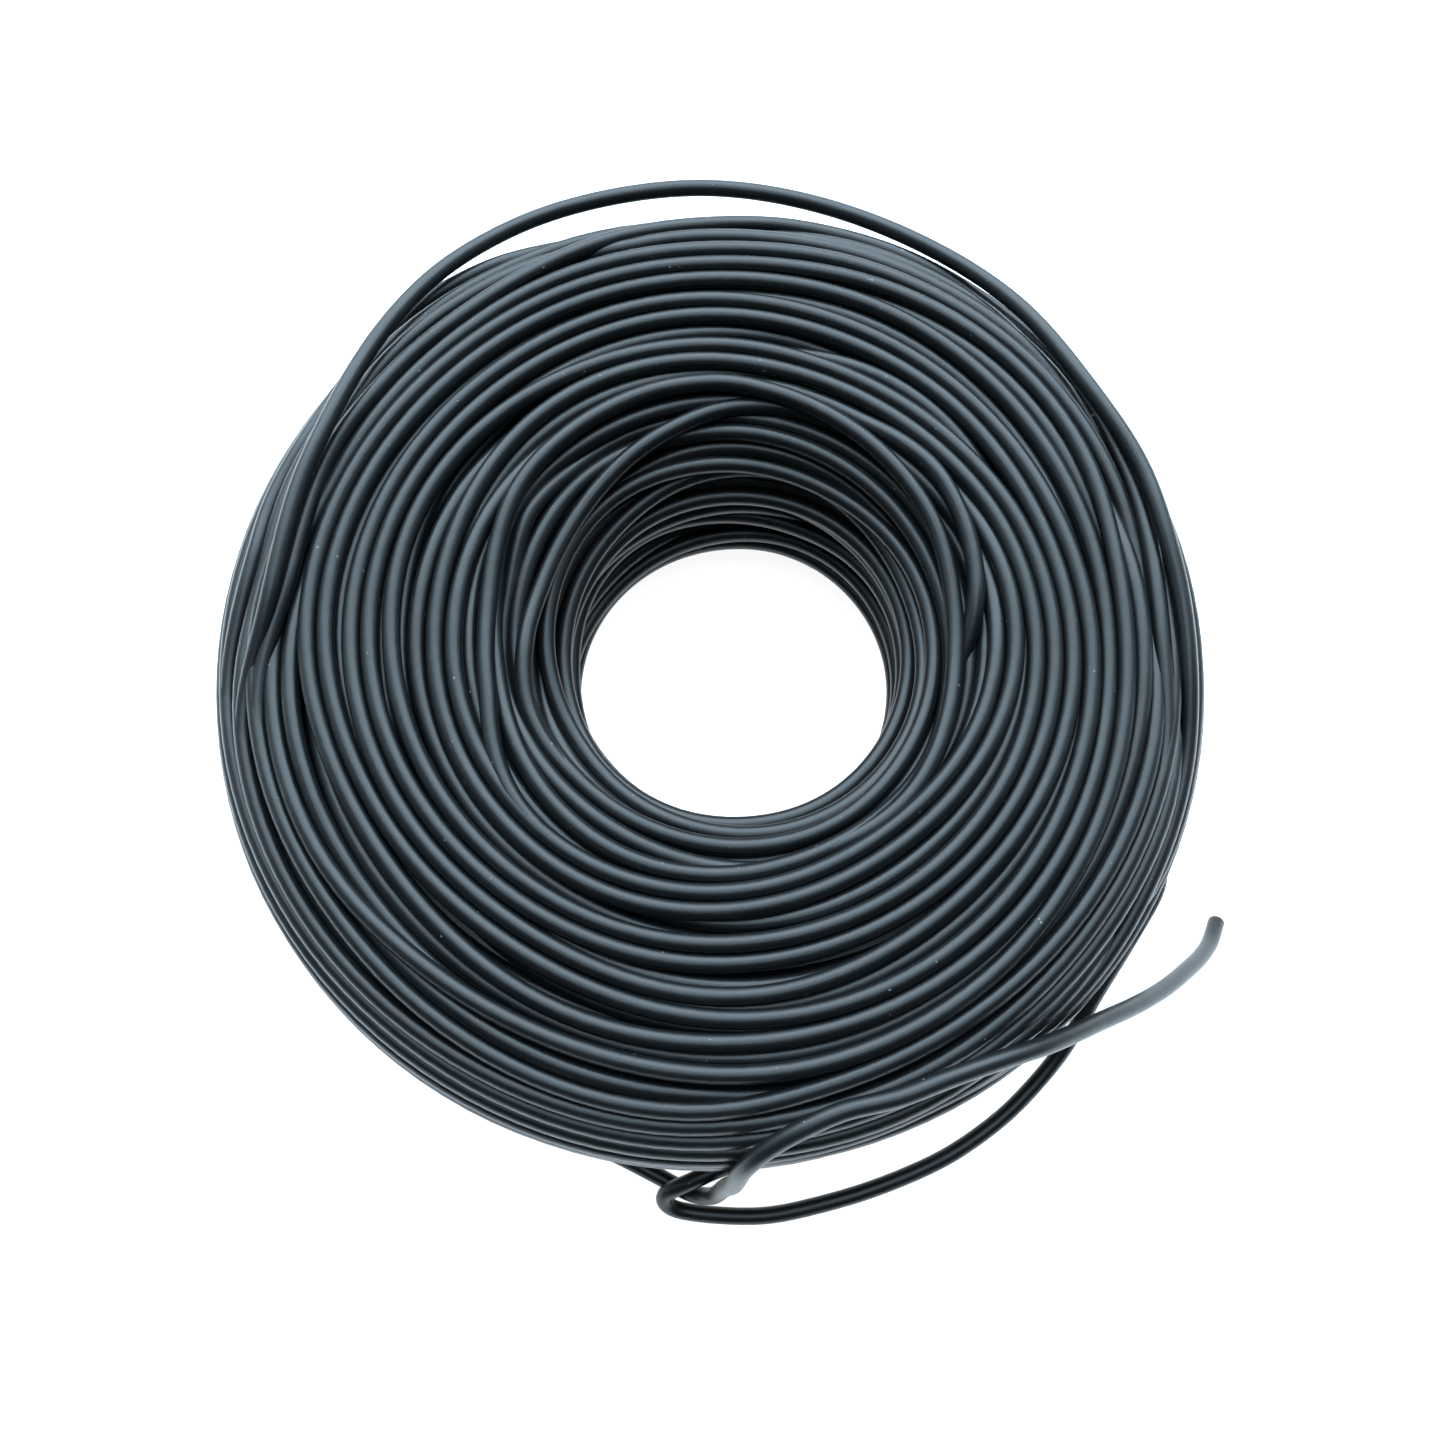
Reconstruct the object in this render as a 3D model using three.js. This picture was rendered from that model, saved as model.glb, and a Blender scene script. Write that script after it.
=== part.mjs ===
// A coil of single-core, PVC-insulated building wire, lying flat.
// Millimetres, +Z up. The coil stands on z = 0.
import * as THREE from 'three';

// Wire
const wireDiameter = 3.5;

// Wound coil: a ring of turns with rounded shoulders
const coilOuterRadius = 98.3;
const boreRadius = 32.5;
const coilHeight = 59.5;
const shoulderWidth = 20.0;
const shoulderHeight = 22.0;
const turnValleyDepth = 1.5;
const boreOffset = 5.4; // the bore lies this far to +X of the outside

// Fineness of the solids
const coilSegments = 36;
const cordSides = 8;
const looseTurnSteps = 26;
const tailLoopSteps = 27;
const freeEndSteps = 27;

const black = new THREE.Color(0x191c1e);

function insulation() {
  return new THREE.MeshStandardMaterial({ color: black, roughness: 0.42, metalness: 0.0 });
}

// Outline of the wound section, counter-clockwise, in (radius, height)
function sectionOutline() {
  const inner = boreRadius + shoulderWidth;
  const outer = coilOuterRadius - shoulderWidth;
  const low = shoulderHeight;
  const high = coilHeight - shoulderHeight;
  const quarter = Math.PI / 2;
  const path = new THREE.Path();
  path.moveTo(inner, 0);
  path.lineTo(outer, 0);
  path.absellipse(outer, low, shoulderWidth, shoulderHeight, -quarter, 0, false);
  path.lineTo(coilOuterRadius, high);
  path.absellipse(outer, high, shoulderWidth, shoulderHeight, 0, quarter, false);
  path.lineTo(inner, coilHeight);
  path.absellipse(inner, high, shoulderWidth, shoulderHeight, quarter, 2 * quarter, false);
  path.lineTo(boreRadius, low);
  path.absellipse(inner, low, shoulderWidth, shoulderHeight, 2 * quarter, 3 * quarter, false);
  return path;
}

// A point of the outline, moved inwards by depth
function outlinePoint(path, share, depth) {
  const at = path.getPointAt(share);
  const along = path.getTangentAt(share);
  return new THREE.Vector2(at.x - along.y * depth, at.y + along.x * depth);
}

// One ridge a turn all round the section, broader where it faces up or down
function coilProfile() {
  const path = sectionOutline();
  path.arcLengthDivisions = 2000;
  const turns = Math.round(path.getLength() / wireDiameter);
  const points = [];
  for (let turn = 0; turn < turns; turn += 1) {
    const middle = (turn + 0.5) / turns;
    const facing = Math.abs(path.getTangentAt(middle).x);
    points.push(outlinePoint(path, turn / turns, turnValleyDepth));
    if (facing > 0.5) {
      points.push(outlinePoint(path, (turn + 0.33) / turns, 0));
      points.push(outlinePoint(path, (turn + 0.67) / turns, 0));
    } else {
      points.push(outlinePoint(path, middle, 0));
    }
  }
  points.push(points[0].clone());
  return points;
}

// The turned coil; its inner turns sit off-centre, so the bore does too
function woundCoil() {
  const geometry = new THREE.LatheGeometry(coilProfile(), coilSegments);
  geometry.rotateX(Math.PI / 2);
  const position = geometry.getAttribute('position');
  for (let i = 0; i < position.count; i += 1) {
    const radius = Math.hypot(position.getX(i), position.getY(i));
    const inwards = (coilOuterRadius - radius) / (coilOuterRadius - boreRadius);
    position.setX(i, position.getX(i) + boreOffset * inwards);
  }
  geometry.computeVertexNormals();
  return geometry;
}

// A loose stretch of the wire along its route
function cord(route, steps) {
  const section = new THREE.Shape();
  for (let side = 0; side < cordSides; side += 1) {
    const angle = (2 * Math.PI * side) / cordSides;
    const x = (wireDiameter / 2) * Math.cos(angle);
    const y = (wireDiameter / 2) * Math.sin(angle);
    if (side === 0) {
      section.moveTo(x, y);
    } else {
      section.lineTo(x, y);
    }
  }
  section.closePath();
  const points = route.map(([x, y, z]) => new THREE.Vector3(x, y, z));
  const curve = new THREE.CatmullRomCurve3(points, false, 'centripetal');
  return new THREE.ExtrudeGeometry(section, { steps, extrudePath: curve, bevelEnabled: false });
}

// The outer turn that has sprung off the far shoulder of the coil
const looseTurnRoute = [
  [-75.8, 35.7, 61.4],
  [-73.4, 43.3, 61.0],
  [-71.0, 50.0, 60.2],
  [-66.2, 62.1, 58.0],
  [-60.9, 71.9, 55.8],
  [-55.2, 80.0, 53.8],
  [-46.1, 88.7, 51.2],
  [-36.5, 95.2, 49.6],
  [-19.7, 101.5, 48.0],
  [-2.3, 103.9, 47.5],
  [14.8, 101.5, 48.0],
  [31.5, 94.9, 49.8],
  [44.5, 86.9, 51.8],
  [53.9, 79.4, 53.6],
  [62.9, 70.0, 55.6],
  [68.4, 61.6, 57.2],
  [73.7, 51.4, 58.8],
  [79.2, 42.2, 59.0],
  [84.5, 31.4, 58.8],
];

// The outermost turn: it leaves the side of the coil, lies on the floor in a
// wide bow, turns back sharply and runs on under the coil's shoulder
const tailLoopRoute = [
  [91.2, -43.6, 24.0],
  [86.9, -52.3, 20.0],
  [80.1, -64.8, 12.0],
  [76.5, -71.8, 8.0],
  [72.6, -77.9, 5.0],
  [63.1, -88.0, 2.6],
  [53.4, -95.1, 1.9],
  [45.9, -99.1, 1.9],
  [33.2, -104.0, 1.9],
  [20.7, -107.4, 1.9],
  [12.8, -108.9, 1.9],
  [7.0, -109.2, 1.9],
  [0.3, -108.9, 1.9],
  [-4.2, -108.4, 1.9],
  [-7.6, -107.6, 2.7],
  [-9.5, -106.0, 4.5],
  [-9.1, -104.4, 6.4],
  [-6.6, -103.1, 8.1],
  [-2.3, -101.2, 9.2],
  [0.4, -100.0, 9.4],
  [3.0, -99.1, 9.2],
  [7.1, -97.8, 9.0],
  [12.2, -96.8, 9.0],
  [18.4, -95.8, 9.0],
];

// The free end: from under the coil, through the tail's turn, up the side of
// the coil, along its near shoulder and out to the cut end on the floor
const freeEndRoute = [
  [-23.6, -95.0, 4.2],
  [-18.5, -97.5, 2.6],
  [-13.3, -100.1, 1.9],
  [-10.5, -101.5, 1.9],
  [-7.6, -103.0, 2.0],
  [-5.3, -104.0, 3.7],
  [-3.4, -104.6, 5.4],
  [-1.1, -104.9, 6.8],
  [0.6, -104.6, 9.2],
  [1.6, -103.8, 14.0],
  [2.4, -102.6, 22.0],
  [3.3, -101.4, 31.0],
  [4.6, -100.2, 41.0],
  [6.4, -97.0, 51.0],
  [9.0, -94.6, 54.4],
  [11.9, -92.6, 56.0],
  [16.6, -90.1, 57.6],
  [22.9, -87.4, 58.3],
  [33.0, -85.0, 57.8],
  [41.8, -81.8, 57.3],
  [51.0, -78.8, 55.4],
  [58.9, -76.5, 52.0],
  [65.1, -74.4, 47.8],
  [73.4, -71.3, 41.0],
  [82.6, -67.9, 33.0],
  [90.9, -64.1, 25.0],
  [97.9, -60.1, 17.5],
  [103.1, -56.8, 11.5],
  [107.1, -53.3, 6.5],
  [110.3, -48.6, 2.4],
];

function piece(name, geometry) {
  const mesh = new THREE.Mesh(geometry, insulation());
  mesh.name = name;
  return mesh;
}

const coil = new THREE.Group();
coil.add(piece('wire_coil', woundCoil()));
coil.add(piece('loose_turn', cord(looseTurnRoute, looseTurnSteps)));
coil.add(piece('tail_loop', cord(tailLoopRoute, tailLoopSteps)));
coil.add(piece('free_end', cord(freeEndRoute, freeEndSteps)));

// The origin is under the middle of the whole object's box
const middle = new THREE.Box3().setFromObject(coil, true).getCenter(new THREE.Vector3());
coil.position.set(-middle.x, -middle.y, 0);

const group = new THREE.Group();
group.add(coil);
group.updateMatrixWorld(true);

export default group;
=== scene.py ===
import math

import bpy
import numpy as np
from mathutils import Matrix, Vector


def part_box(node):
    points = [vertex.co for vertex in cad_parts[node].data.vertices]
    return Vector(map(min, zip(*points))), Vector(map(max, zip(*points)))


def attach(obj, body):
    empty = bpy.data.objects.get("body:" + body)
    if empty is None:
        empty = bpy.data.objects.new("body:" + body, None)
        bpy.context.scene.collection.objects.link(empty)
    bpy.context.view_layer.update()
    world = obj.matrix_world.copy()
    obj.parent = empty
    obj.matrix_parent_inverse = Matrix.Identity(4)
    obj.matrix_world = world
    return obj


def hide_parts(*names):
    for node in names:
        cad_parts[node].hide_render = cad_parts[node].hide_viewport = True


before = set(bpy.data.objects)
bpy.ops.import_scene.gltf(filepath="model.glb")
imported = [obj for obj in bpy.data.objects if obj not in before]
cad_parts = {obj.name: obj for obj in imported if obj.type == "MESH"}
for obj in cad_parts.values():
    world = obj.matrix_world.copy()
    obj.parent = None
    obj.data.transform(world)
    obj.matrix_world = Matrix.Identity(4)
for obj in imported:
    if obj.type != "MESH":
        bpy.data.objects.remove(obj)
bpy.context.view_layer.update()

MM = 0.001

# Sizes of the coil, in millimetres
WIRE = 3.5
OUTER = 98.3
BORE = 32.5
HEIGHT = 59.5
CORNER = 21.0
BORE_OFFSET = 5.4

# The coil's axis in the part's frame, and the way there from the coil's own frame
coil_low, coil_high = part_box("wire_coil")
AXIS = (np.array(coil_low) + np.array(coil_high))[:2] / 2 / MM
TO_PART = np.array([AXIS[0], AXIS[1], 0.0])

# Camera, as the photo was taken: millimetres from the coil's axis and the floor
CAMERA_AT = (2.5, -83.1, 298.4)
CAMERA_TILT = math.radians(15.06)
CAMERA_FOCAL = 1350.0
PHOTO_SIDE = 1445.0


def make_camera():
    data = bpy.data.cameras.new("camera")
    data.sensor_width = 36.0
    data.lens = 36.0 * CAMERA_FOCAL / PHOTO_SIDE
    data.clip_start = 0.01
    data.clip_end = 20.0
    camera = bpy.data.objects.new("camera", data)
    bpy.context.collection.objects.link(camera)
    x, y, z = CAMERA_AT
    camera.location = ((AXIS[0] + x) * MM, (AXIS[1] + y) * MM, z * MM)
    camera.rotation_euler = (CAMERA_TILT, 0.0, 0.0)
    bpy.context.scene.camera = camera


make_camera()


# Tubes

SPAN_STEPS = 16


def through(points, step):
    """A smooth line through given points, with a point every step millimetres."""
    given = np.array(points, float)
    padded = np.vstack([2 * given[0] - given[1], given, 2 * given[-1] - given[-2]])
    line = []
    for i in range(1, len(padded) - 2):
        p0, p1, p2, p3 = padded[i - 1:i + 3]
        t0 = 0.0
        t1 = t0 + np.linalg.norm(p1 - p0) ** 0.5
        t2 = t1 + np.linalg.norm(p2 - p1) ** 0.5
        t3 = t2 + np.linalg.norm(p3 - p2) ** 0.5
        for t in np.linspace(t1, t2, SPAN_STEPS, endpoint=False):
            a1 = (t1 - t) / (t1 - t0) * p0 + (t - t0) / (t1 - t0) * p1
            a2 = (t2 - t) / (t2 - t1) * p1 + (t - t1) / (t2 - t1) * p2
            a3 = (t3 - t) / (t3 - t2) * p2 + (t - t2) / (t3 - t2) * p3
            b1 = (t2 - t) / (t2 - t0) * a1 + (t - t0) / (t2 - t0) * a2
            b2 = (t3 - t) / (t3 - t1) * a2 + (t - t1) / (t3 - t1) * a3
            line.append((t2 - t) / (t2 - t1) * b1 + (t - t1) / (t2 - t1) * b2)
    line.append(given[-1])
    return evenly(np.array(line), step)


def evenly(line, step):
    lengths = np.linalg.norm(np.diff(line, axis=0), axis=1)
    along = np.concatenate([[0.0], np.cumsum(lengths)])
    count = max(2, int(round(along[-1] / step)) + 1)
    at = np.linspace(0.0, along[-1], count)
    return np.column_stack([np.interp(at, along, line[:, k]) for k in range(3)])


def carried_frames(line):
    """Two directions across the line at each point, carried along it without twist."""
    tangent = np.gradient(line, axis=0)
    tangent /= np.linalg.norm(tangent, axis=1)[:, None]
    side = np.cross(tangent[0], (0.0, 0.0, 1.0))
    if np.linalg.norm(side) < 0.1:
        side = np.cross(tangent[0], (1.0, 0.0, 0.0))
    sides = np.zeros_like(line)
    for i, along in enumerate(tangent):
        side = side - along * np.dot(side, along)
        side /= np.linalg.norm(side)
        sides[i] = side
    return sides, np.cross(tangent, sides)


def level_frames(line):
    """The same for a closed line that never stands up: one direction stays level."""
    tangent = np.roll(line, -1, axis=0) - np.roll(line, 1, axis=0)
    tangent /= np.linalg.norm(tangent, axis=1)[:, None]
    sides = np.cross(tangent, (0.0, 0.0, 1.0))
    sides /= np.linalg.norm(sides, axis=1)[:, None]
    return sides, np.cross(tangent, sides)


def tube_quads(rings, around, closed):
    """Corner numbers of the faces between each ring of a tube and the next."""
    i = np.arange(rings if closed else rings - 1)[:, None]
    j = np.arange(around)[None, :]
    ahead = (i + 1) % rings
    beside = (j + 1) % around
    corners = (i * around + j, i * around + beside, ahead * around + beside, ahead * around + j)
    return np.stack(corners, axis=-1).reshape(-1, 4)


def tube_uv(line, around, bands):
    """U once round the tube and V in metres along it, for each face's corners."""
    lengths = np.linalg.norm(np.diff(np.vstack([line, line[:1]]), axis=0), axis=1)
    along = np.concatenate([[0.0], np.cumsum(lengths)]) * MM
    low = np.repeat(along[:bands], around)
    high = np.repeat(along[1:bands + 1], around)
    left = np.tile(np.arange(around) / around, bands)
    right = left + 1.0 / around
    return np.stack([left, low, right, low, right, high, left, high], axis=-1).reshape(-1, 2)


def tube_mesh(name, line, radius, around, closed=False, swell=None):
    """A tube along a line, which may be closed or have two cut ends."""
    sides, ups = level_frames(line) if closed else carried_frames(line)
    radii = radius * (np.ones(len(line)) if swell is None else swell)
    turn = np.linspace(0.0, 2 * math.pi, around, endpoint=False)
    ring = sides[:, None] * np.cos(turn)[None, :, None] + ups[:, None] * np.sin(turn)[None, :, None]
    points = line[:, None] + radii[:, None, None] * ring
    vertices = points.reshape(-1, 3)
    quads = tube_quads(len(line), around, closed)
    faces = quads.tolist()
    uv = tube_uv(line, around, len(quads) // around)
    if not closed:
        # the cut ends have corners of their own, so that the wire's round stays smooth
        start_cap = len(vertices) + np.arange(around)
        faces.append(start_cap[::-1].tolist())
        faces.append((start_cap + around).tolist())
        vertices = np.vstack([vertices, points[0], points[-1]])
        uv = np.vstack([uv, np.zeros((2 * around, 2))])
    mesh = bpy.data.meshes.new(name)
    mesh.from_pydata(((vertices + TO_PART) * MM).tolist(), [], faces)
    layer = mesh.uv_layers.new(name="wire")
    layer.data.foreach_set("uv", uv.astype(np.float32).ravel())
    mesh.polygons.foreach_set("use_smooth", [len(f) == 4 for f in faces])
    mesh.update()
    return mesh


def piece(name, mesh, material, node):
    made = bpy.data.objects.new(name, mesh)
    bpy.context.collection.objects.link(made)
    mesh.materials.append(material)
    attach(made, "root")
    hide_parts(node)
    return made


# Material

BLACK = (0.0022, 0.0028, 0.0033)
BLACK_PALE = (0.0050, 0.0060, 0.0066)
SCUFF = (0.018, 0.020, 0.021)
DUST = (0.16, 0.17, 0.17)
NONE = (0.0, 0.0, 0.0)
ROUGHNESS_LOW = 0.32
ROUGHNESS_HIGH = 0.46
IOR = 1.5
SPECULAR = 0.42


def ramp(nodes, links, factor, first, second):
    """Colours between two stops, each a position and a colour."""
    made = nodes.new("ShaderNodeValToRGB")
    for element, (position, color) in zip(made.color_ramp.elements, (first, second)):
        element.position = position
        element.color = (*color, 1.0)
    links.new(factor, made.inputs["Fac"])
    return made.outputs["Color"]


def noise(nodes, links, vector, scale, detail=2.0, roughness=0.5):
    made = nodes.new("ShaderNodeTexNoise")
    made.inputs["Scale"].default_value = scale
    made.inputs["Detail"].default_value = detail
    made.inputs["Roughness"].default_value = roughness
    links.new(vector, made.inputs["Vector"])
    return made.outputs["Fac"]


def stretched(nodes, links, vector, scale):
    made = nodes.new("ShaderNodeMapping")
    made.inputs["Scale"].default_value = scale
    links.new(vector, made.inputs["Vector"])
    return made.outputs["Vector"]


def mix_color(nodes, links, factor, under, over):
    made = nodes.new("ShaderNodeMix")
    made.data_type = "RGBA"
    links.new(factor, made.inputs["Factor"])
    first, second = [socket for socket in made.inputs if socket.type == "RGBA"]
    links.new(under, first)
    second.default_value = (*over, 1.0)
    return [socket for socket in made.outputs if socket.type == "RGBA"][0]


def bump(nodes, links, height, strength, distance, under=None):
    made = nodes.new("ShaderNodeBump")
    made.inputs["Strength"].default_value = strength
    made.inputs["Distance"].default_value = distance
    links.new(height, made.inputs["Height"])
    if under:
        links.new(under, made.inputs["Normal"])
    return made.outputs["Normal"]


def pvc(name):
    """Satin black PVC: mottled, faintly drawn along the wire, with scuffs and dust."""
    material = bpy.data.materials.new(name)
    material.use_nodes = True
    nodes, links = material.node_tree.nodes, material.node_tree.links
    shader = nodes["Principled BSDF"]
    position = nodes.new("ShaderNodeTexCoord").outputs["Object"]
    wire_map = nodes.new("ShaderNodeUVMap")
    wire_map.uv_map = "wire"
    along = wire_map.outputs["UV"]
    # mottled black
    cloud = noise(nodes, links, position, 60.0, 3.0)
    color = ramp(nodes, links, cloud, (0.35, BLACK), (0.68, BLACK_PALE))
    # scuffs drawn along the wire
    streak = noise(nodes, links, stretched(nodes, links, along, (9.0, 90.0, 1.0)), 1.0, 4.0, 0.6)
    scuffed = ramp(nodes, links, streak, (0.62, NONE), (0.80, (0.55, 0.55, 0.55)))
    color = mix_color(nodes, links, scuffed, color, SCUFF)
    # dust specks
    speck = noise(nodes, links, position, 900.0, 1.0)
    dusty = ramp(nodes, links, speck, (0.785, NONE), (0.82, (0.8, 0.8, 0.8)))
    color = mix_color(nodes, links, dusty, color, DUST)
    links.new(color, shader.inputs["Base Color"])
    # gloss
    rough = nodes.new("ShaderNodeMapRange")
    rough.inputs["To Min"].default_value = ROUGHNESS_LOW
    rough.inputs["To Max"].default_value = ROUGHNESS_HIGH
    links.new(streak, rough.inputs["Value"])
    links.new(rough.outputs["Result"], shader.inputs["Roughness"])
    shader.inputs["IOR"].default_value = IOR
    shader.inputs["Specular IOR Level"].default_value = SPECULAR
    # lines drawn along the wire, small waves and grain
    drawn = noise(nodes, links, stretched(nodes, links, along, (40.0, 60.0, 1.0)), 1.0, 3.0)
    wave = noise(nodes, links, position, 220.0)
    grain = noise(nodes, links, position, 2600.0)
    normal = bump(nodes, links, drawn, 0.10, 0.0002)
    normal = bump(nodes, links, wave, 0.16, 0.0004, normal)
    normal = bump(nodes, links, grain, 0.05, 0.0001, normal)
    links.new(normal, shader.inputs["Normal"])
    return material


insulation = pvc("insulation")

# Loose stretches of the wire, the routes of the solids

LOOSE_TURN = [
    (-75.8, 35.7, 61.4), (-73.4, 43.3, 61.0), (-71.0, 50.0, 60.2), (-66.2, 62.1, 58.0),
    (-60.9, 71.9, 55.8), (-55.2, 80.0, 53.8), (-46.1, 88.7, 51.2), (-36.5, 95.2, 49.6),
    (-19.7, 101.5, 48.0), (-2.3, 103.9, 47.5), (14.8, 101.5, 48.0), (31.5, 94.9, 49.8),
    (44.5, 86.9, 51.8), (53.9, 79.4, 53.6), (62.9, 70.0, 55.6), (68.4, 61.6, 57.2),
    (73.7, 51.4, 58.8), (79.2, 42.2, 59.0), (84.5, 31.4, 58.8),
]
TAIL_LOOP = [
    (91.2, -43.6, 24.0), (86.9, -52.3, 20.0), (80.1, -64.8, 12.0), (76.5, -71.8, 8.0),
    (72.6, -77.9, 5.0), (63.1, -88.0, 2.6), (53.4, -95.1, 1.9), (45.9, -99.1, 1.9),
    (33.2, -104.0, 1.9), (20.7, -107.4, 1.9), (12.8, -108.9, 1.9), (7.0, -109.2, 1.9),
    (0.3, -108.9, 1.9), (-4.2, -108.4, 1.9), (-7.6, -107.6, 2.7), (-9.5, -106.0, 4.5),
    (-9.1, -104.4, 6.4), (-6.6, -103.1, 8.1), (-2.3, -101.2, 9.2), (0.4, -100.0, 9.4),
    (3.0, -99.1, 9.2), (7.1, -97.8, 9.0), (12.2, -96.8, 9.0), (18.4, -95.8, 9.0),
]
FREE_END = [
    (-23.6, -95.0, 4.2), (-18.5, -97.5, 2.6), (-13.3, -100.1, 1.9), (-10.5, -101.5, 1.9),
    (-7.6, -103.0, 2.0), (-5.3, -104.0, 3.7), (-3.4, -104.6, 5.4), (-1.1, -104.9, 6.8),
    (0.6, -104.6, 9.2), (1.6, -103.8, 14.0), (2.4, -102.6, 22.0), (3.3, -101.4, 31.0),
    (4.6, -100.2, 41.0), (6.4, -97.0, 51.0), (9.0, -94.6, 54.4), (11.9, -92.6, 56.0),
    (16.6, -90.1, 57.6), (22.9, -87.4, 58.3), (33.0, -85.0, 57.8), (41.8, -81.8, 57.3),
    (51.0, -78.8, 55.4), (58.9, -76.5, 52.0), (65.1, -74.4, 47.8), (73.4, -71.3, 41.0),
    (82.6, -67.9, 33.0), (90.9, -64.1, 25.0), (97.9, -60.1, 17.5), (103.1, -56.8, 11.5),
    (107.1, -53.3, 6.5), (110.3, -48.6, 2.4),
]


# The section of the winding: a ring with round corners, whose bore sits off-centre

SHIFT = BORE_OFFSET / (OUTER - BORE)
CORE_DEPTH = 9.6


def outline(share):
    """Point and outward direction on the section's outline, for shares 0 to 1 of its length."""
    width = OUTER - BORE - 2 * CORNER
    rise = HEIGHT - 2 * CORNER
    bend = math.pi / 2 * CORNER
    total = 2 * width + 2 * rise + 4 * bend
    s = np.mod(share, 1.0) * total
    point = np.zeros(s.shape + (2,))
    out = np.zeros(s.shape + (2,))
    left, right = BORE + CORNER, OUTER - CORNER
    low, high = CORNER, HEIGHT - CORNER
    parts = [
        (width, "line", (left, 0.0), (1.0, 0.0)),
        (bend, "arc", (right, low), -math.pi / 2),
        (rise, "line", (OUTER, low), (0.0, 1.0)),
        (bend, "arc", (right, high), 0.0),
        (width, "line", (right, HEIGHT), (-1.0, 0.0)),
        (bend, "arc", (left, high), math.pi / 2),
        (rise, "line", (BORE, high), (0.0, -1.0)),
        (bend, "arc", (left, low), math.pi),
    ]
    start = 0.0
    for length, kind, at, way in parts:
        here = (s >= start) & (s <= start + length + 1e-9)
        t = s[here] - start
        if kind == "line":
            point[here] = np.array(at) + t[:, None] * np.array(way)
            out[here] = (way[1], -way[0])
        else:
            angle = way + t / CORNER
            direction = np.column_stack([np.cos(angle), np.sin(angle)])
            point[here] = np.array(at) + CORNER * direction
            out[here] = direction
        start += length
    return point, out, total


def depth_below(place):
    """How far each place lies inside the outline, and the outward direction there."""
    centre = np.array([(OUTER + BORE) / 2, HEIGHT / 2])
    half = np.array([(OUTER - BORE) / 2 - CORNER, HEIGHT / 2 - CORNER])
    offset = place - centre
    beyond = np.abs(offset) - half
    corner = np.maximum(beyond, 0.0)
    reach = np.linalg.norm(corner, axis=-1)
    inside = np.minimum(np.max(beyond, axis=-1), 0.0)
    depth = CORNER - reach - inside
    flat = np.where(beyond[..., :1] > beyond[..., 1:], [1.0, 0.0], [0.0, 1.0])
    out = np.where(reach[..., None] > 1e-6, corner / np.maximum(reach, 1e-6)[..., None], flat)
    return depth, out * np.sign(offset)


def to_space(place, angle):
    """Section places at their angles round the coil, as points in millimetres."""
    radius = place[..., 0]
    shift = SHIFT * (OUTER - radius)
    x = radius * np.cos(angle) + shift
    y = radius * np.sin(angle)
    return np.stack([x, y, np.broadcast_to(place[..., 1], x.shape)], axis=-1)


def to_section(points):
    """The other way: points in millimetres to section places and angles."""
    radius = np.hypot(points[..., 0], points[..., 1])
    for _ in range(12):
        x = points[..., 0] - SHIFT * (OUTER - radius)
        radius = np.hypot(x, points[..., 1])
    angle = np.arctan2(points[..., 1], x)
    return np.stack([radius, points[..., 2]], axis=-1), angle


# Turns that can be followed in the photo. Each point is a place in the picture,
# across and down, and how deep the wire's middle lies below the winding's outline there.

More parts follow.
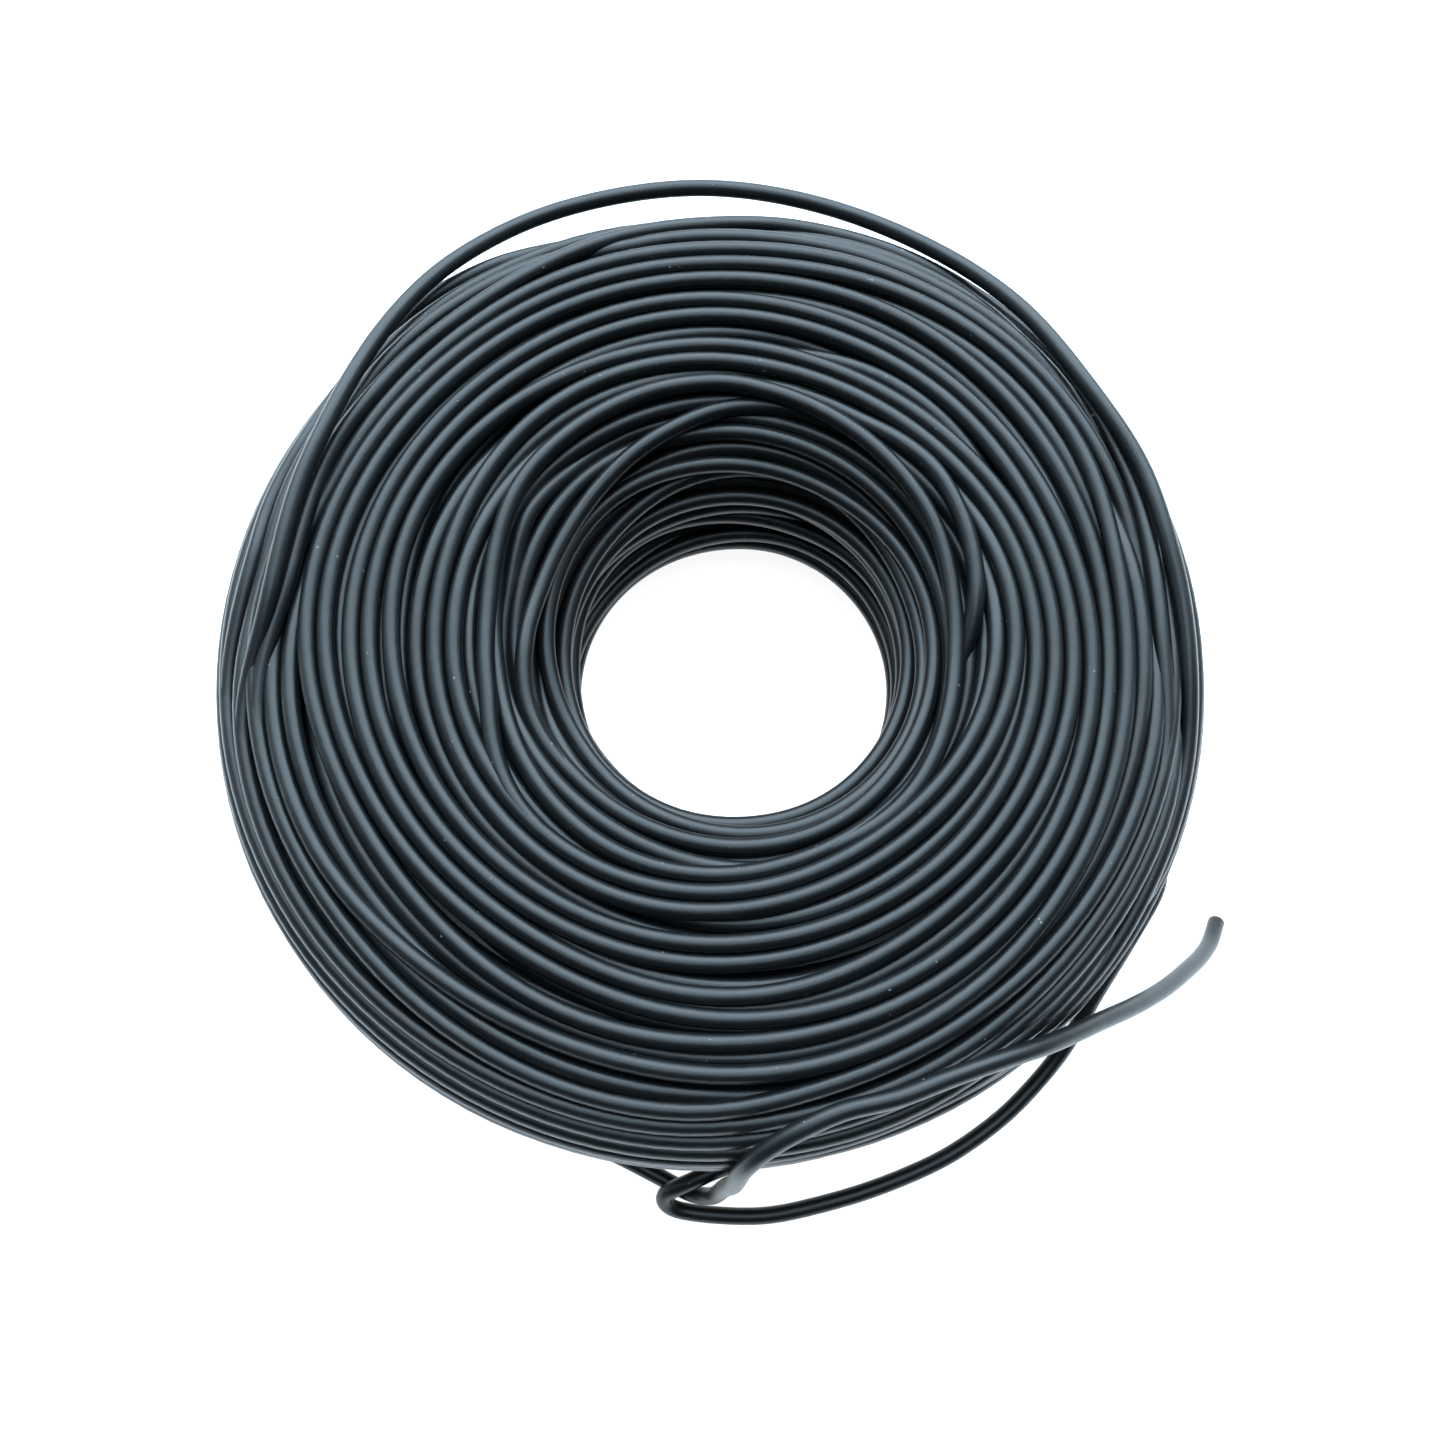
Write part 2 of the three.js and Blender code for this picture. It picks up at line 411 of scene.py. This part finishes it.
CROSSING_TURNS = {
    # on from the loose turn, down the left side and under
    "loose_turn_left": [
        (299, 478, -3.0), (288, 519, -2.5), (276, 566, -1.7), (265, 620, -0.6),
        (258, 670, 0.4), (253, 730, 1.3), (252, 790, 1.7),
    ],
    # on from the loose turn, down the right side as the outermost turn
    "loose_turn_right": [
        (1161, 517, -2.5), (1174, 560, -1.9), (1184, 607, -1.1), (1189, 660, -0.2),
        (1190, 710, 0.7), (1186, 765, 1.4), (1170, 830, 1.6), (1150, 880, 1.6), (1118, 940, 1.6),
        (1085, 985, 1.6), (1045, 1025, 1.7), (1000, 1060, 1.9), (950, 1092, 2.2), (895, 1120, 2.6),
    ],
    # the thick outermost turn along the far side
    "far_side_turn": [
        (268, 770, 2.6), (269, 705, 2.2), (277, 640, 1.8), (289, 578, 1.4), (303, 522, 1.2),
        (320, 474, 1.2), (342, 434, 1.0), (373, 395, 0.9), (412, 355, 0.9), (452, 323, 0.9),
        (511, 284, 0.9), (571, 254, 0.9), (630, 235, 0.9), (709, 225, 0.9), (789, 227, 0.9),
        (873, 246, 1.1), (937, 273, 1.3), (999, 312, 1.3), (1057, 362, 1.2), (1096, 412, 1.2),
        (1121, 458, 1.2), (1139, 504, 1.3), (1151, 552, 1.4), (1158, 601, 1.5), (1163, 660, 1.7),
        (1163, 720, 2.0), (1158, 780, 2.2), (1145, 835, 2.4),
    ],
    # the turn of the outline at the upper left
    "upper_left_turn": [
        (238, 735, 2.4), (237, 690, 1.8), (240, 650, 1.5), (246, 600, 1.3), (257, 550, 1.3),
        (270, 508, 1.3), (286, 474, 1.3), (305, 442, 1.3), (324, 414, 1.4), (350, 380, 1.3),
        (388, 338, 1.0), (432, 298, 0.7), (489, 268, 0.8), (549, 247, 1.3), (609, 237, 2.3),
        (665, 231, 3.4),
    ],
    # the bright turn round the inner shoulder, on top of the rest
    "inner_top_turn": [
        (585, 862, 2.6), (545, 828, 1.7), (515, 785, 1.1), (496, 735, 0.8), (486, 670, 0.6),
        (488, 605, 0.5), (497, 545, 0.5), (512, 500, 0.4), (535, 465, 0.3), (571, 432, 0.2),
        (610, 408, 0.2), (650, 392, 0.1), (690, 384, 0.0), (729, 383, 0.0), (769, 391, -0.1),
        (808, 405, -0.3), (848, 427, -0.3), (880, 452, -0.2), (910, 485, 0.0), (932, 520, 0.2),
        (946, 560, 0.3), (954, 610, 0.4), (955, 660, 0.5), (949, 710, 0.8), (934, 757, 1.2),
        (908, 800, 1.5), (872, 834, 1.8), (825, 858, 2.2), (775, 870, 2.8),
    ],
    # the turn that crosses over the mouth of the bore on the far side
    "bore_mouth_turn": [
        (605, 815, 3.0), (568, 785, 2.2), (541, 745, 1.5), (526, 695, 1.1), (526, 638, 0.7),
        (544, 580, 0.4), (567, 533, 0.2), (598, 489, 0.1), (632, 455, 0.2), (668, 431, 0.5),
        (709, 414, 0.9), (750, 408, 1.4), (790, 410, 2.2), (830, 424, 3.2), (866, 448, 4.0),
    ],
    # a turn that slips under it
    "under_mouth_turn": [
        (514, 700, 3.4), (507, 645, 2.6), (507, 590, 2.2), (515, 545, 2.1), (532, 508, 2.1),
        (558, 480, 2.2), (592, 458, 2.6), (632, 440, 3.4), (675, 428, 4.4),
    ],
    # a turn that slips under the inner top turn on the right
    "inner_right_turn": [
        (728, 388, 3.4), (770, 392, 2.8), (812, 402, 2.2), (854, 419, 1.7), (898, 440, 1.3),
        (935, 470, 1.1), (961, 515, 1.0), (974, 561, 1.0), (976, 613, 1.3), (969, 655, 2.2),
        (956, 698, 3.4), (938, 740, 4.2), (914, 778, 4.6),
    ],
}

# Turns at the outside that the photo doesn't show, on from the loose stretches: angle round
# the coil in degrees, height, and depth below the outline.

SIDE_TURNS = {
    # up round the right side, from where the bow begins
    "bow_side": [
        (-22.0, 25.5, -0.6), (-14.0, 26.5, 0.6), (-5.0, 27.0, 1.5), (5.0, 27.0, 1.8),
        (20.0, 26.5, 2.0), (35.0, 26.0, 2.3),
    ],
    # on under the shoulder, from where the bow comes back
    "bow_under": [
        (-74.0, 8.6, -1.6), (-68.0, 8.4, -0.4), (-60.0, 8.4, 0.9), (-50.0, 8.6, 1.6),
        (-38.0, 9.0, 1.9), (-26.0, 9.4, 2.2),
    ],
    # back under the shoulder, from where the free end comes out
    "free_end_under": [
        (-109.0, 6.6, -1.8), (-114.0, 7.8, -0.9), (-121.0, 8.8, 0.4), (-130.0, 9.4, 1.4),
        (-141.0, 9.6, 1.9), (-153.0, 9.6, 2.2),
    ],
}


def side_places(route):
    found = []
    for degrees, height, depth in route:
        drop = max(CORNER - height, 0.0)
        radius = OUTER - CORNER + math.sqrt((CORNER - depth) ** 2 - drop ** 2)
        place = np.array([radius, height])
        found.append(to_space(place, np.radians(degrees)))
    return found


# How far from the camera the winding is looked for, in millimetres
NEAREST_REACH = 180.0
FARTHEST_REACH = 420.0
REACH_STEP = 0.2


def camera_rays(pixels):
    across = pixels[:, 0] - PHOTO_SIDE / 2
    down = pixels[:, 1] - PHOTO_SIDE / 2
    ahead = np.array([0.0, math.sin(CAMERA_TILT), -math.cos(CAMERA_TILT)])
    up = np.array([0.0, math.cos(CAMERA_TILT), math.sin(CAMERA_TILT)])
    rays = CAMERA_FOCAL * ahead - down[:, None] * up
    rays[:, 0] += across
    return rays / np.linalg.norm(rays, axis=1)[:, None]


def seen_places(route):
    """Points on the winding, in millimetres, that the camera sees at the route's pixels."""
    route = np.array(route, float)
    rays = camera_rays(route)
    reach = np.arange(NEAREST_REACH, FARTHEST_REACH, REACH_STEP)
    found = []
    for ray, depth in zip(rays, route[:, 2]):
        line = np.array(CAMERA_AT) + reach[:, None] * ray
        below = depth_below(to_section(line)[0])[0]
        deep = np.nonzero(below >= depth)[0]
        found.append(line[deep[0] if len(deep) else np.argmax(below)])
    return found


def turn_places(name):
    if name in SIDE_TURNS:
        return side_places(SIDE_TURNS[name])
    return seen_places(CROSSING_TURNS[name])


# Each loose stretch is one smooth line with the turns that carry it on into the coil:
# its route, the turn at its start, the turn at its end, its far end, and its rounding.

STRETCHES = {
    "loose_turn": (LOOSE_TURN, "loose_turn_left", "loose_turn_right", "object", 6.0),
    "tail_loop": (TAIL_LOOP, "bow_side", "bow_under", "object", 0.8),
    "free_end": (FREE_END, "free_end_under", None, "bare", 0.8),
}
CORD_STEP = 0.8
LINE_STEP = 1.2
carried_on = {}


def rounded(line, length):
    """The line with its bends eased over a length in millimetres."""
    reach = int(round(3 * length / CORD_STEP))
    bell = np.exp(-0.5 * (np.arange(-reach, reach + 1) * CORD_STEP / length) ** 2)
    bell /= bell.sum()
    head = 2 * line[0] - line[reach:0:-1]
    tail = 2 * line[-1] - line[-2:-reach - 2:-1]
    longer = np.vstack([head, line, tail])
    return np.column_stack([np.convolve(longer[:, k], bell, "valid") for k in range(3)])


def nearest_on(line, point):
    return int(np.argmin(np.linalg.norm(line - np.array(point), axis=1)))


def make_stretch(name):
    route, before, after, far_end, rounding = STRETCHES[name]
    head = turn_places(before)
    tail = turn_places(after) if after else []
    whole = rounded(through([*head[::-1], *route, *tail], CORD_STEP), rounding)
    start = nearest_on(whole, route[0])
    finish = nearest_on(whole, route[-1])
    carried_on[before] = evenly(whole[start::-1], LINE_STEP)
    if after:
        carried_on[after] = evenly(whole[finish:], LINE_STEP)
    line = whole[start:finish + 1]
    made = piece(name + "_wire", tube_mesh(name, line, WIRE / 2, 16), insulation, name)


for stretch in STRETCHES:
    make_stretch(stretch)


# The wound turns. Every layer is one long wire; at every station round the coil its places
# in the section are found by letting the turns push each other apart.

STATIONS = 120
LAYERS = (
    # turns, way of the winding, starting depth, wanted depth, its slack
    (41, 1, 1.9, 1.7, 1.5),
    (44, -1, 5.0, 1.9, 1.8),
    (42, 1, 8.3, 6.4, 0.8),
)
LAYER_NAMES = ("outer_turns", "second_turns", "third_turns")
LAYER_SIDES = (16, 16, 8)
SEED = 11
WANDER_WAVES = 2.0
DRIFT = 2.7
ROUNDS = 170
PAIRS_EVERY = 30
PULL = 0.05
PUSH = 0.48
LAST_PUSH = 0.25
NEAR_WIRES = 3.2
# evening out along the wire, in stations, at the outside and at the bore
EVENING = (0.8, 2.0)
LAST_EVENINGS = ((1.6, 4.0), (1.0, 2.5))
FINAL_EVENING = (0.9, 2.4)
BORE_SHARE = 0.8055
BORE_THINNING = 0.5
BORE_SPREAD = 0.11


def thinned_share(share):
    """Spaces the turns wider apart on the wall of the bore."""
    grid = np.linspace(0.0, 1.0, 2001)
    density = 1.0 - BORE_THINNING * np.exp(-((grid - BORE_SHARE) / BORE_SPREAD) ** 2)
    total = np.concatenate([[0.0], np.cumsum((density[1:] + density[:-1]) / 2)])
    total /= total[-1]
    return np.interp(np.mod(share, 1.0), total, grid)


def slow_wander(rng, turns, waves, size):
    """Smooth random numbers along one long wire, in rows of one turn."""
    count = turns * STATIONS
    white = rng.normal(0.0, 1.0, count)
    frequency = np.fft.rfftfreq(count, 1.0 / turns)
    shape = np.exp(-((frequency / waves) ** 2))
    soft = np.fft.irfft(np.fft.rfft(white) * shape, count)
    return (soft * size / np.std(soft)).reshape(turns, STATIONS)


def along_wire(place, order, keep):
    """Evens out each wire along its own length, more where it runs in tight turns."""
    line = place[:, order].transpose(1, 0, 2).reshape(-1, 2)
    count = len(line)
    frequency = np.fft.rfftfreq(count)[:, None]
    spectrum = np.fft.rfft(line, axis=0)
    firm = np.fft.irfft(spectrum * np.exp(-2 * (math.pi * frequency * keep[0]) ** 2), count, axis=0)
    soft = np.fft.irfft(spectrum * np.exp(-2 * (math.pi * frequency * keep[1]) ** 2), count, axis=0)
    share = np.clip((OUTER - line[:, :1]) / (OUTER - BORE), 0.0, 1.0)
    line = firm + share * (soft - firm)
    return line.reshape(len(order), STATIONS, 2).transpose(1, 0, 2)


def near_pairs(place):
    """Pairs of turns that come near each other."""
    turns = place.shape[1]
    nearest = np.full((turns, turns), 1e9)
    for station in range(0, STATIONS, 4):
        gap = place[station][:, None] - place[station][None]
        nearest = np.minimum(nearest, np.linalg.norm(gap, axis=-1))
    return np.nonzero(np.triu(nearest < NEAR_WIRES * WIRE, 1))


def push_apart(place, pairs, squeeze, fixed, share=PUSH):
    stations, turns = place.shape[:2]
    first, second = pairs
    gap = place[:, first] - place[:, second]
    wide = gap[..., 0] * squeeze[:, None]
    distance = np.sqrt(wide ** 2 + gap[..., 1] ** 2) + 1e-6
    push = np.maximum(WIRE - distance, 0.0) / distance * share
    held = fixed[first] | fixed[second]
    push = push * np.where(held, 2.0, 1.0)
    row = np.arange(stations)[:, None] * turns
    to_first = (row + first).ravel()
    to_second = (row + second).ravel()
    for axis in (0, 1):
        move = (gap[..., axis] * push).ravel()
        total = np.bincount(to_first, move, stations * turns)
        total -= np.bincount(to_second, move, stations * turns)
        total = total.reshape(stations, turns)
        total[:, fixed] = 0.0
        place[..., axis] += total


def keep_inside(place, free):
    depth, out = depth_below(place)
    move = np.minimum(depth - WIRE / 2, 0.0) + np.maximum(depth - CORE_DEPTH, 0.0)
    place += out * (move * free)[..., None]


def wind(crossing):
    """Places (station, turn) of every wound turn in the section, in millimetres."""
    rng = np.random.default_rng(SEED)
    angle = np.linspace(0.0, 2 * math.pi, STATIONS, endpoint=False)
    total = outline(np.array([0.0]))[2]
    started, wanted, orders = [], [], []
    base = 0
    for turns, way, start_depth, depth, slack in LAYERS:
        lap = np.arange(turns)[:, None] + angle[None] / (2 * math.pi)
        share = thinned_share(way * lap / turns)
        place, out, _ = outline(share)
        started.append((place - out * start_depth).transpose(1, 0, 2))
        drift = slow_wander(rng, turns, WANDER_WAVES, DRIFT)
        place, out, _ = outline(share + drift / total)
        sink = depth + slack * np.abs(slow_wander(rng, turns, WANDER_WAVES, 1.0))
        wanted.append((place - out * sink[..., None]).transpose(1, 0, 2))
        orders.append(base + np.arange(turns))
        base += turns
    for strand in crossing:
        started.append(strand[:, None])
        wanted.append(strand[:, None])
    place = np.concatenate(started, axis=1)
    wanted = np.concatenate(wanted, axis=1)
    fixed = np.arange(place.shape[1]) >= base
    free = np.where(fixed, 0.0, 1.0)
    squeeze = 1.0 - SHIFT * np.cos(angle)
    pairs = near_pairs(place)
    for step in range(ROUNDS):
        if step % PAIRS_EVERY == PAIRS_EVERY // 2:
            pairs = near_pairs(place)
        for order in orders:
            place[:, order] = along_wire(place, order, EVENING)
        place += PULL * (wanted - place) * free[:, None]
        for _ in range(2):
            push_apart(place, pairs, squeeze, fixed)
        keep_inside(place, free)
    for keep in LAST_EVENINGS:
        for order in orders:
            place[:, order] = along_wire(place, order, keep)
        push_apart(place, pairs, squeeze, fixed, LAST_PUSH)
        keep_inside(place, free)
    for order in orders:
        place[:, order] = along_wire(place, order, FINAL_EVENING)
    return place, orders


def crossing_places(line):
    """Where a crossing turn passes each station; far away where it doesn't."""
    section, angle = to_section(line)
    angle = np.unwrap(angle)
    if angle[-1] < angle[0]:
        section, angle = section[::-1], angle[::-1]
    station = np.linspace(0.0, 2 * math.pi, STATIONS, endpoint=False)
    places = np.full((STATIONS, 2), 900.0)
    for lap in (-1, 0, 1):
        here = station + 2 * math.pi * lap
        inside = (here >= angle[0]) & (here <= angle[-1])
        places[inside, 0] = np.interp(here[inside], angle, section[:, 0])
        places[inside, 1] = np.interp(here[inside], angle, section[:, 1])
    return places


# A turn's free end runs into the wound turn beside it over the merge length, and lies wholly
# within it, a little thinner, for the merged length.
MERGE_LENGTH = 40.0
MERGED_LENGTH = 5.0
THINNER = 0.05


def free_ends(name):
    """Whether the turn's start and its finish are free to run into a wound turn."""
    return (name not in carried_on, True)


def clear_part(name, line):
    """A crossing turn as the wound turns make room for it: its free ends are lifted off."""
    section, angle = to_section(line)
    out = depth_below(section)[1]
    from_start = np.arange(len(line)) * LINE_STEP
    lift = np.zeros(len(line))
    for free, reach in zip(free_ends(name), (from_start, from_start[::-1])):
        if free:
            share = np.clip(1 - reach / MERGE_LENGTH, 0.0, 1.0)
            lift = np.maximum(lift, WIRE * share ** 2 * (3 - 2 * share))
    return to_space(section + out * lift[:, None], angle)


def merge_end(line, swell, layers):
    """Lets the last stretch of a line run into the wound turn beside it."""
    lengths = np.linalg.norm(np.diff(line[::-1], axis=0), axis=1)
    to_end = np.concatenate([[0.0], np.cumsum(lengths)])[::-1]
    gaps = [np.linalg.norm(layer - line[-1], axis=1).min() for layer in layers]
    layer = layers[int(np.argmin(gaps))]
    nearest = np.argmin(np.linalg.norm(layer - line[-1], axis=1))
    angle = np.unwrap(to_section(line)[1])
    index = nearest + (angle - angle[-1]) * STATIONS / (2 * math.pi)
    count = len(layer)
    low = np.floor(index).astype(int)
    part = (index - low)[:, None]
    beside = layer[low % count] * (1 - part) + layer[(low + 1) % count] * part
    share = np.clip((MERGE_LENGTH - to_end) / (MERGE_LENGTH - MERGED_LENGTH), 0.0, 1.0)
    share = share ** 2 * (3 - 2 * share)
    line = line + (beside - line) * share[:, None]
    return line, swell * (1 - THINNER * share)


def crossing_line(name):
    if name in carried_on:
        return carried_on[name]
    return through(turn_places(name), LINE_STEP)


def make_turns():
    names = [*CROSSING_TURNS, *SIDE_TURNS]
    lines = {name: crossing_line(name) for name in names}
    spread = [crossing_places(clear_part(name, line)) for name, line in lines.items()]
    place, orders = wind(spread)
    angle = np.linspace(0.0, 2 * math.pi, STATIONS, endpoint=False)
    layers = [np.concatenate([to_space(place[:, turn], angle) for turn in order]) for order in orders]
    for name, around, line in zip(LAYER_NAMES, LAYER_SIDES, layers):
        piece(name, tube_mesh(name, line, WIRE / 2, around, closed=True), insulation, "wire_coil")
    for name, line in lines.items():
        swell = np.ones(len(line))
        start, finish = free_ends(name)
        if finish:
            line, swell = merge_end(line, swell, layers[:2])
        if start:
            line, swell = merge_end(line[::-1], swell[::-1], layers[:2])
        mesh = tube_mesh(name, line, WIRE / 2, 16, swell=swell)
        piece(name, mesh, insulation, "wire_coil")


make_turns()


CORE_POINTS = 60
CORE_STATIONS = 90
CORE_GAP = 1.0


def make_core():
    """The plain middle of the winding, under the turns that show."""
    share = np.linspace(0.0, 1.0, CORE_POINTS, endpoint=False)
    point, out, _ = outline(share)
    section = point - out * (CORE_DEPTH - WIRE / 2 + CORE_GAP)
    angle = np.linspace(0.0, 2 * math.pi, CORE_STATIONS, endpoint=False)
    rings = to_space(section[None], angle[:, None])
    quads = tube_quads(CORE_STATIONS, CORE_POINTS, True)[:, (0, 3, 2, 1)]
    mesh = bpy.data.meshes.new("core")
    mesh.from_pydata(((rings.reshape(-1, 3) + TO_PART) * MM).tolist(), [], quads.tolist())
    mesh.uv_layers.new(name="wire")
    mesh.update()
    piece("winding_core", mesh, insulation, "wire_coil")


make_core()


# Floor and light

FLOOR_REACH = 6.0
BACKDROP_REACH = 5.9
BACKDROP_LOW = -0.01
BACKDROP_HIGH = 6.0
BACKDROP_SIDES = 48


def make_floor():
    mesh = bpy.data.meshes.new("floor")
    near, far = -FLOOR_REACH, FLOOR_REACH
    corners = [(near, near, 0), (far, near, 0), (far, far, 0), (near, far, 0)]
    mesh.from_pydata(corners, [], [(0, 1, 2, 3)])
    material = bpy.data.materials.new("floor")
    material.use_nodes = True
    shader = material.node_tree.nodes["Principled BSDF"]
    shader.inputs["Base Color"].default_value = (0.90, 0.90, 0.90, 1.0)
    shader.inputs["Roughness"].default_value = 0.9
    mesh.materials.append(material)
    floor = bpy.data.objects.new("floor", mesh)
    bpy.context.collection.objects.link(floor)
    return floor


def make_backdrop():
    """A pale wall all round, far off, that lights nothing."""
    turn = np.linspace(0.0, 2 * math.pi, BACKDROP_SIDES, endpoint=False)
    ring = BACKDROP_REACH * np.column_stack([np.cos(turn), np.sin(turn)])
    low = np.column_stack([ring, np.full(BACKDROP_SIDES, BACKDROP_LOW)])
    high = np.column_stack([ring, np.full(BACKDROP_SIDES, BACKDROP_HIGH)])
    faces = []
    for k in range(BACKDROP_SIDES):
        after = (k + 1) % BACKDROP_SIDES
        faces.append([k, after, BACKDROP_SIDES + after, BACKDROP_SIDES + k])
    faces.append([BACKDROP_SIDES + k for k in range(BACKDROP_SIDES)])
    mesh = bpy.data.meshes.new("backdrop")
    mesh.from_pydata(np.vstack([low, high]).tolist(), [], faces)
    material = bpy.data.materials.new("backdrop")
    material.use_nodes = True
    shader = material.node_tree.nodes["Principled BSDF"]
    shader.inputs["Base Color"].default_value = (0.0, 0.0, 0.0, 1.0)
    shader.inputs["Emission Color"].default_value = (0.95, 0.95, 0.95, 1.0)
    shader.inputs["Emission Strength"].default_value = 1.0
    mesh.materials.append(material)
    backdrop = bpy.data.objects.new("backdrop", mesh)
    bpy.context.collection.objects.link(backdrop)
    backdrop.visible_diffuse = False
    backdrop.visible_glossy = False
    backdrop.visible_transmission = False
    backdrop.visible_shadow = False


def light_floor(floor):
    """An even light that only the floor takes, so that it stays pale under the coil."""
    only = bpy.data.collections.new("floor_only")
    only.objects.link(floor)
    data = bpy.data.lights.new("floor_fill", "SUN")
    data.energy = 3.2
    data.angle = math.radians(20)
    light = bpy.data.objects.new("floor_fill", data)
    bpy.context.collection.objects.link(light)
    light.light_linking.receiver_collection = only
    light.light_linking.blocker_collection = only


COOL = (0.66, 0.85, 1.0)
GREY = (0.62, 0.85, 1.0)
PANELS = (
    # name, place, width and height in metres, power in watts, colour
    ("far_panel", (0.0, 1.25, 1.25), 3.2, 1.7, 152.0, COOL),
    ("top_panel", (0.0, 0.06, 1.8), 1.3, 1.0, 18.0, COOL),
    ("left_panel", (-1.9, 0.75, 1.1), 2.4, 1.6, 14.0, GREY),
    ("right_panel", (1.9, 0.75, 1.1), 2.4, 1.6, 10.0, GREY),
)


def panel(name, at, wide, high, power, color):
    """A soft light that faces the coil."""
    data = bpy.data.lights.new(name, "AREA")
    data.shape = "RECTANGLE"
    data.size = wide
    data.size_y = high
    data.energy = power
    data.color = color
    light = bpy.data.objects.new(name, data)
    light.location = at
    light.rotation_euler = (-Vector(at)).to_track_quat("-Z", "Y").to_euler()
    bpy.context.collection.objects.link(light)


def make_light():
    world = bpy.data.worlds.new("room")
    world.use_nodes = True
    background = world.node_tree.nodes["Background"]
    background.inputs["Color"].default_value = (0.75, 0.88, 1.0, 1.0)
    background.inputs["Strength"].default_value = 0.07
    bpy.context.scene.world = world
    for row in PANELS:
        panel(*row)


light_floor(make_floor())
make_backdrop()
make_light()
bpy.context.scene.view_settings.view_transform = "Standard"
